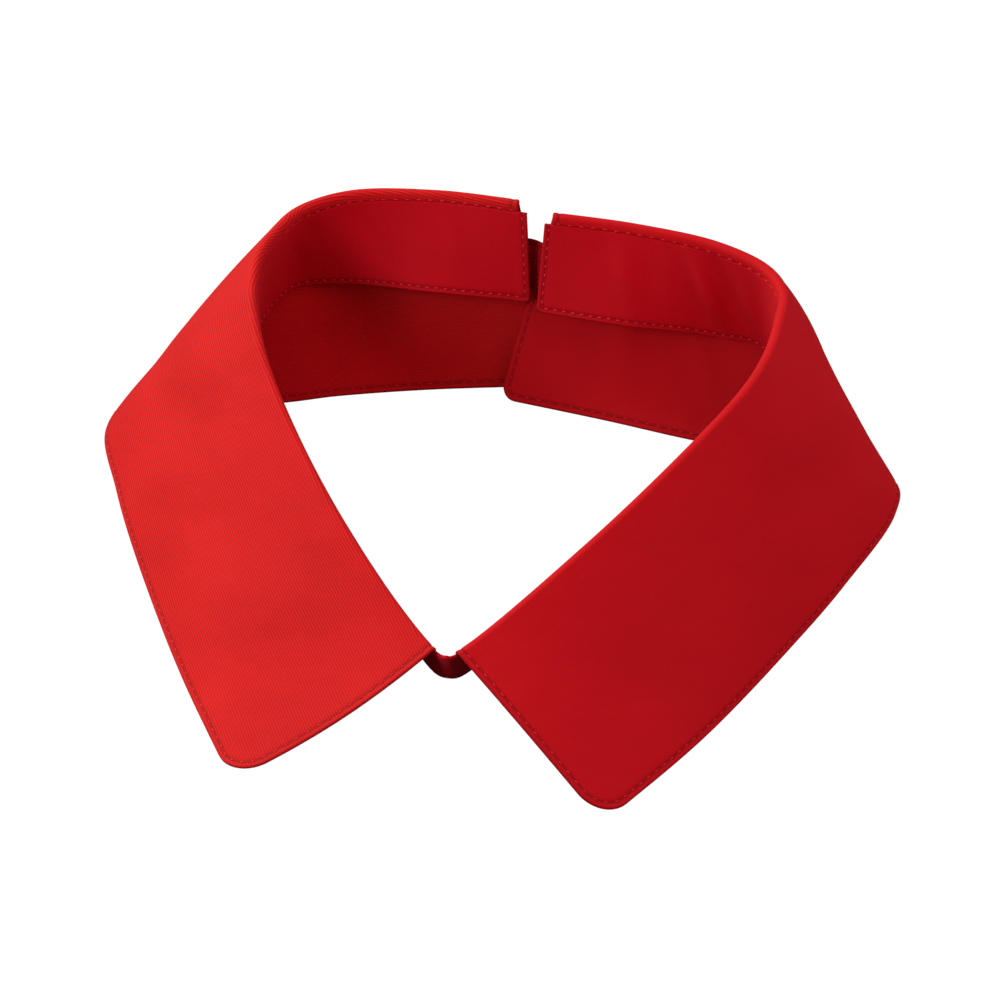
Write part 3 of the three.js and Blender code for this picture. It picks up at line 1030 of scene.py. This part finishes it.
def edge_group() -> bpy.types.NodeTree:
    """The finished edge: a dark cut rim and the hollow under the stitches.

    Returns:
        The node group, which takes the distance to the edge in millimetres.
    """
    graph, given = new_group(
        "edge_marks",
        {"Edge Distance": NUMBER, "Inset": NUMBER},
        {"Height": NUMBER, "Rim": NUMBER, "Hollow": NUMBER},
    )
    rim = graph.add(
        "ShaderNodeMapRange",
        {"Value": given["Edge Distance"], "From Min": 0.1, "From Max": 0.55, "To Min": 1.0, "To Max": 0.0},
    )
    away = graph.math("DIVIDE", graph.math("SUBTRACT", given["Edge Distance"], given["Inset"]), 0.42)
    hollow = graph.math("EXPONENT", graph.math("MULTIPLY", graph.math("MULTIPLY", away, away), -1.0))
    graph.add(
        "NodeGroupOutput",
        {"Height": graph.math("MULTIPLY", hollow, -0.06), "Rim": rim.outputs[0], "Hollow": hollow},
    )
    return graph.tree


@dataclass(frozen=True)
class Twill:
    """A dyed twill cloth, whose colours and rib tone per piece also paint the light and shade falling on that
    piece.
    """

    name: str
    colour: tuple[float, float, float]
    shade: tuple[float, float, float]
    rib_turn: float
    stitch_inset: float
    # rib_tone: how strongly the ribs' shading is painted into the colour.
    rib_tone: float = 0.25
    rib_depth: float = 0.01
    roughness: float = 0.78
    rib_spacing: float = 0.00064

    def material(self, weave: bpy.types.NodeTree, edges: bpy.types.NodeTree) -> bpy.types.Material:
        """Builds the cloth's material.

        Args:
            weave: the twill group.
            edges: the finished edge group.

        Returns:
            The material.
        """
        material = bpy.data.materials.new(self.name)
        material.use_nodes = True
        graph = Graph(material.node_tree)
        cloth = graph.add("ShaderNodeUVMap", uv_map="cloth").outputs[0]
        edge = graph.add("ShaderNodeAttribute", attribute_name="edge_distance").outputs["Fac"]
        inner = graph.add("ShaderNodeAttribute", attribute_name="inner_face").outputs["Fac"]
        turn = math.radians(self.rib_turn)
        # Painted shade: the painted rib shading drops to a quarter on the inner faces, which lie in shade.
        tone = graph.math("MULTIPLY_ADD", inner, -0.75 * self.rib_tone, self.rib_tone)
        twill = graph.add("ShaderNodeGroup", node_tree=weave)
        given = {"Cloth": cloth, "Rib Turn": turn, "Rib Spacing": self.rib_spacing, "Rib Tone": tone}
        for name, value in given.items():
            graph.put(twill.inputs[name], value)
        marks = graph.add("ShaderNodeGroup", node_tree=edges)
        graph.put(marks.inputs["Edge Distance"], edge)
        graph.put(marks.inputs["Inset"], self.stitch_inset)
        patches = graph.math("SUBTRACT", graph.noise(cloth, 38.0, 3.0), 0.25)
        # Random patches plus the painted rib shading set how far each spot goes from the darker shade colour
        # to the main colour.
        lights = graph.math("MULTIPLY_ADD", patches, 0.8, graph.math("MULTIPLY", twill.outputs["Tone"], 0.65))
        ground = graph.blend(lights, (*self.shade, 1.0), (*self.colour, 1.0))
        dark = tuple(0.34 * c for c in self.colour)
        # Painted shade: the colour darkens along the stitch groove, where shadow falls between the stitches.
        groove_shaded = graph.blend(graph.math("MULTIPLY", marks.outputs["Hollow"], 0.62), ground, (*dark, 1.0))
        rim = graph.blend(graph.math("MULTIPLY", marks.outputs["Rim"], 0.45), groove_shaded, (*dark, 1.0))
        height = graph.math("MULTIPLY_ADD", twill.outputs["Height"], self.rib_depth, marks.outputs["Height"])
        height = graph.math("MULTIPLY_ADD", graph.noise(cloth, 110.0, 3.0), 0.22, height)
        bump = graph.add("ShaderNodeBump", {"Height": height, "Distance": MM, "Strength": 1.0})
        rough = graph.math("MULTIPLY_ADD", twill.outputs["Tone"], 0.12, self.roughness - 0.06)
        shader = graph.add(
            "ShaderNodeBsdfPrincipled",
            {
                "Base Color": rim,
                "Roughness": rough,
                "Normal": bump.outputs[0],
                "Specular IOR Level": 0.2,
                "Sheen Weight": 0.07,
                "Sheen Roughness": 0.45,
                "Sheen Tint": (1.0, 0.42, 0.42, 1.0),
            },
        )
        graph.add("ShaderNodeOutputMaterial", {"Surface": shader.outputs[0]})
        return material


@dataclass(frozen=True)
class SewingThread:
    """The thread's own finish, a little lighter and glossier than the cloth."""

    name: str
    colour: tuple[float, float, float]

    def material(self) -> bpy.types.Material:
        """Builds the thread's material, with a fine unevenness.

        Returns:
            The material.
        """
        material = bpy.data.materials.new(self.name)
        material.use_nodes = True
        graph = Graph(material.node_tree)
        place = graph.add("ShaderNodeTexCoord").outputs["Object"]
        fleck = graph.noise(place, 3000.0, 1.0)
        dark = tuple(0.7 * c for c in self.colour)
        shade = graph.blend(fleck, (*dark, 1.0), (*self.colour, 1.0))
        bump = graph.add("ShaderNodeBump", {"Height": graph.math("MULTIPLY", fleck, 0.06), "Distance": MM})
        shader = graph.add(
            "ShaderNodeBsdfPrincipled",
            {
                "Base Color": shade,
                "Roughness": 0.55,
                "Specular IOR Level": 0.25,
                "Normal": bump.outputs[0],
                "Sheen Weight": 0.05,
                "Sheen Tint": (1.0, 0.6, 0.62, 1.0),
            },
        )
        graph.add("ShaderNodeOutputMaterial", {"Surface": shader.outputs[0]})
        return material


@dataclass(frozen=True)
class RedPlastic:
    """The snap's matt moulded plastic."""

    name: str = "snap_plastic"
    colour: tuple[float, float, float] = (0.3, 0.006, 0.01)

    def material(self) -> bpy.types.Material:
        """Builds the plastic's material, with a faint grain and slightly rubbed patches.

        Returns:
            The material.
        """
        material = bpy.data.materials.new(self.name)
        material.use_nodes = True
        graph = Graph(material.node_tree)
        place = graph.add("ShaderNodeTexCoord").outputs["Object"]
        grain = graph.noise(place, 1800.0, 2.0)
        patches = graph.noise(place, 400.0, 2.0)
        dark = tuple(0.8 * c for c in self.colour)
        shade = graph.blend(patches, (*dark, 1.0), (*self.colour, 1.0))
        bump = graph.add("ShaderNodeBump", {"Height": graph.math("MULTIPLY", grain, 0.015), "Distance": MM})
        rough = graph.math("MULTIPLY_ADD", patches, 0.2, 0.38)
        shader = graph.add(
            "ShaderNodeBsdfPrincipled", {"Base Color": shade, "Roughness": rough, "Normal": bump.outputs[0]}
        )
        graph.add("ShaderNodeOutputMaterial", {"Surface": shader.outputs[0]})
        return material


@dataclass
class Collar:
    """The whole collar: its cloth panels, their stitches and the snap."""

    shape: CollarShape = field(default_factory=CollarShape)

    def __post_init__(self) -> None:
        """Builds the finishes that the pieces share."""
        self.weave = twill_group()
        self.edges = edge_group()
        self.leaf_thread = SewingThread("leaf_thread", (0.82, 0.02, 0.03)).material()
        self.stand_thread = SewingThread("stand_thread", (0.86, 0.04, 0.06)).material()

    def place(self, panel: Panel, finish: Twill, node: str, lines: list, pitch: float) -> tuple:
        """Builds one cloth panel and its stitches, dresses them and puts them in the frame.

        Args:
            panel: the cloth.
            finish: the cloth's finish.
            node: the solid that the panel stands for.
            lines: stitch lines with the faces that each shows on.
            pitch: the stitch length.

        Returns:
            The cloth and its stitches.
        """
        cloth = panel.mesh()
        cloth.data.materials.append(finish.material(self.weave, self.edges))
        stitches = Thread().sew(f"{node}_stitches", lines, pitch)
        on_leaf = node.startswith("leaf")
        stitches.data.materials.append(self.leaf_thread if on_leaf else self.stand_thread)
        for piece in (cloth, stitches):
            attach(piece, "root")
            log.info("%s: %d faces", piece.name, len(piece.data.polygons))
        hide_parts(node)
        return cloth, stitches

    def build(self) -> None:
        """Builds every piece in order, from the stand outwards."""
        dents = (
            Dent(43.0, 12.0, 9.0, 1.9, -58.0, 2.3),
            Dent(49.0, 13.0, 9.0, 2.4, -58.0, -1.2),
            Dent(55.0, 11.0, 8.0, 2.2, -60.0, 0.9),
            Dent(22.0, 11.0, 9.0, 2.6, -70.0, 0.8),
            Dent(28.0, 14.0, 8.0, 2.4, -66.0, -0.6),
            Dent(404.0, 13.0, 9.0, 2.6, 75.0, 0.25),
            Dent(384.0, 13.0, 9.0, 2.6, 100.0, -0.2),
            Dent(366.0, 13.0, 9.0, 3.0, 80.0, 0.25),
        )
        stand = Stand(self.shape, dents)
        panel = stand.panel()
        lines = [(line, (1, -1)) for line in stand.lines(panel)]
        # Painted shade: the stand is the same cloth as the leaves, and its somewhat darker red paints the
        # shade inside the loop.
        red, shade = (0.62, 0.002, 0.01), (0.46, 0.001, 0.007)
        stand_finish = Twill("stand_twill", red, shade, 70.0, stand.stitch_inset)
        cloth, stitches = self.place(panel, stand_finish, "stand", lines, stand.pitch)
        stand_cloth = cloth
        self.declare(panel, cloth, stitches, "folded", ["leaf_right_cloth", "leaf_left_cloth"])
        turns = {Side.RIGHT: 38.0, Side.LEFT: 4.0}
        marks = {
            Side.RIGHT: (
                Dent(26.0, 26.0, 12.0, 3.0, -70.0, 0.6),
                Dent(46.0, 22.0, 12.0, 2.6, -62.0, 0.5),
                Dent(120.0, 24.0, 26.0, 9.0, 20.0, 0.5),
                Dent(210.0, 20.0, 22.0, 8.0, -18.0, 0.4),
            ), Side.LEFT: (
                Dent(14.0, 29.0, 6.0, 1.3, -45.0, 1.0),
                Dent(34.0, 22.0, 16.0, 5.0, 8.0, 0.5),
                Dent(120.0, 26.0, 30.0, 9.0, 24.0, 0.7),
                Dent(176.0, 34.0, 22.0, 10.0, 40.0, 0.5),
                Dent(218.0, 24.0, 26.0, 15.0, -40.0, 1.1),
            ),
        }
        for side in Side:
            leaf = Leaf(self.shape, side, marks[side])
            panel = leaf.panel()
            # Painted light and shade: both leaves are one cloth. The left leaf's brighter, more orange red
            # and strong rib tone paint the key light on it. The right leaf's deeper red and faint rib tone
            # paint the shade it is in.
            finish = Twill(
                f"leaf_{side.value}_twill",
                (0.74, 0.018, 0.013) if side is Side.LEFT else (0.66, 0.007, 0.01),
                (0.42, 0.001, 0.003) if side is Side.LEFT else (0.5, 0.002, 0.006),
                turns[side],
                leaf.stitch_inset,
                rib_tone=0.62 if side is Side.LEFT else 0.16,
                rib_depth=0.03 if side is Side.LEFT else 0.004,
            )
            lines = [(leaf.topstitch(panel), (1, -1)), (leaf.seamstitch(panel), (1,))]
            cloth, stitches = self.place(panel, finish, f"leaf_{side.value}", lines, leaf.pitch)
            self.declare(panel, cloth, stitches, "folded", [stand_cloth.name])
        tab = BackTab(self.shape)
        panel = tab.panel()
        # Painted shade: the tab is the same cloth, and its darker red paints the shadow it lies in behind the
        # stand ends.
        tab_finish = Twill("tab_twill", (0.5, 0.003, 0.007), (0.36, 0.002, 0.005), 70.0, 1.2)
        lines = [(tab.line(panel), (1, -1))]
        cloth, stitches = self.place(panel, tab_finish, "back_tab", lines, 2.3)
        self.declare(panel, cloth, stitches, "stretched", [stand_cloth.name])
        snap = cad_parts["snap"]
        snap.data.materials.clear()
        snap.data.materials.append(RedPlastic().material())
        log.info("snap: dressed")

    @staticmethod
    def declare(
        panel: Panel, cloth: bpy.types.Object, stitches: bpy.types.Object, held: str, on: list
    ) -> None:
        """Logs the flat size and area of the sheet that a panel was cut from.

        Args:
            panel: the cloth's flat measures.
            cloth: the cloth's object; not used.
            stitches: the stitches on it; not used.
            held: how it is held; not used.
            on: the names of what it lies on or hangs from; not used.
        """
        flat = (float(panel.along.max() * MM), float(panel.up.max() * MM))
        log.info("%s: flat %.4f by %.4f m, area %.6f m2", panel.name, *flat, panel.area())


@dataclass
class Studio:
    """The white floor, the soft lights round it and the photograph's camera."""

    centre: tuple[float, float, float] = (0.0, 0.0, 0.02)
    lens: float = 148.32
    eye: tuple[float, float, float] = (0.075364, -0.772863, 0.64897)
    picture_right: tuple[float, float, float] = (0.9888, 0.1379, 0.0572)
    picture_back: tuple[float, float, float] = (0.0716, -0.7741, 0.629)

    def floor(self) -> None:
        """Lays the white floor, which a picture sees almost unshaded."""
        bm = bmesh.new()
        bmesh.ops.create_grid(bm, x_segments=1, y_segments=1, size=4.0)
        bmesh.ops.translate(bm, verts=bm.verts[:], vec=(0.0, 0.0, -0.0002))
        floor = finish_mesh(bm, "studio_floor")
        material = bpy.data.materials.new("studio_white")
        material.use_nodes = True
        graph = Graph(material.node_tree)
        seen = graph.add("ShaderNodeLightPath").outputs["Is Camera Ray"]
        bright = graph.add("ShaderNodeEmission", {"Color": (1.0, 1.0, 1.0, 1.0), "Strength": 1.0})
        matt = graph.add("ShaderNodeBsdfDiffuse", {"Color": (0.1, 0.09, 0.09, 1.0)})
        both = graph.add("ShaderNodeAddShader")
        mixed = graph.add("ShaderNodeMixShader", {0: seen})
        graph.put(both.inputs[0], bright.outputs[0])
        graph.put(both.inputs[1], matt.outputs[0])
        graph.put(mixed.inputs[1], matt.outputs[0])
        graph.put(mixed.inputs[2], both.outputs[0])
        graph.add("ShaderNodeOutputMaterial", {"Surface": mixed.outputs[0]})
        floor.data.materials.append(material)

    def light(self, name: str, place: tuple, size: float, power: float, colour: tuple) -> None:
        """Hangs a square soft light that points at the collar.

        Args:
            name: the light's name.
            place: where it hangs, in metres.
            size: the length of its side, in metres.
            power: its power, in watts.
            colour: its colour.
        """
        lamp = bpy.data.lights.new(name, "AREA")
        lamp.size = size
        lamp.energy = power
        lamp.color = colour
        holder = bpy.data.objects.new(name, lamp)
        holder.location = place
        holder.rotation_euler = (Vector(self.centre) - Vector(place)).to_track_quat("-Z", "Y").to_euler()
        bpy.context.scene.collection.objects.link(holder)

    def lights(self) -> None:
        """Hangs the lights: the main one at the upper left, two weak ones and one from behind."""
        self.light("key", (-0.58, 0.28, 0.5), 0.35, 4.6, (1.0, 1.0, 0.86))
        self.light("side", (-0.5, -0.5, 0.42), 0.25, 2.5, (1.0, 0.72, 0.88))
        self.light("fill", (0.9, -0.12, 0.85), 1.0, 4.5, (1.0, 0.2, 0.42))
        self.light("behind", (0.7, 0.6, 0.45), 0.4, 1.2, (1.0, 0.9, 0.95))
        world = bpy.data.worlds.new("studio_world")
        world.use_nodes = True
        world.node_tree.nodes["Background"].inputs["Color"].default_value = (1.0, 0.42, 0.6, 1.0)
        world.node_tree.nodes["Background"].inputs["Strength"].default_value = 0.32
        bpy.context.scene.world = world

    def camera(self) -> None:
        """Sets the camera where the photograph was taken from."""
        right = Vector(self.picture_right).normalized()
        back = Vector(self.picture_back)
        back = (back - right * back.dot(right)).normalized()
        turn = Matrix((right, back.cross(right), back)).transposed().to_4x4()
        data = bpy.data.cameras.new("photo_camera")
        data.sensor_width = 36.0
        data.lens = self.lens
        data.clip_start = 0.01
        holder = bpy.data.objects.new("photo_camera", data)
        holder.matrix_world = Matrix.Translation(Vector(self.eye)) @ turn
        bpy.context.scene.collection.objects.link(holder)
        bpy.context.scene.camera = holder

    def picture(self) -> None:
        """Sets the picture's size and colours."""
        scene = bpy.context.scene
        scene.render.engine = "CYCLES"
        scene.cycles.samples = 80
        scene.cycles.use_denoising = True
        scene.render.resolution_x = 1000
        scene.render.resolution_y = 1000
        scene.render.resolution_percentage = 100
        scene.view_settings.view_transform = "Standard"
        scene.view_settings.look = "None"


def main() -> None:
    """Builds the collar and its studio."""
    logging.basicConfig(level=logging.INFO, format="%(name)s %(message)s")
    Collar().build()
    studio = Studio()
    studio.floor()
    studio.lights()
    studio.camera()
    studio.picture()


if __name__ == "__main__":
    main()
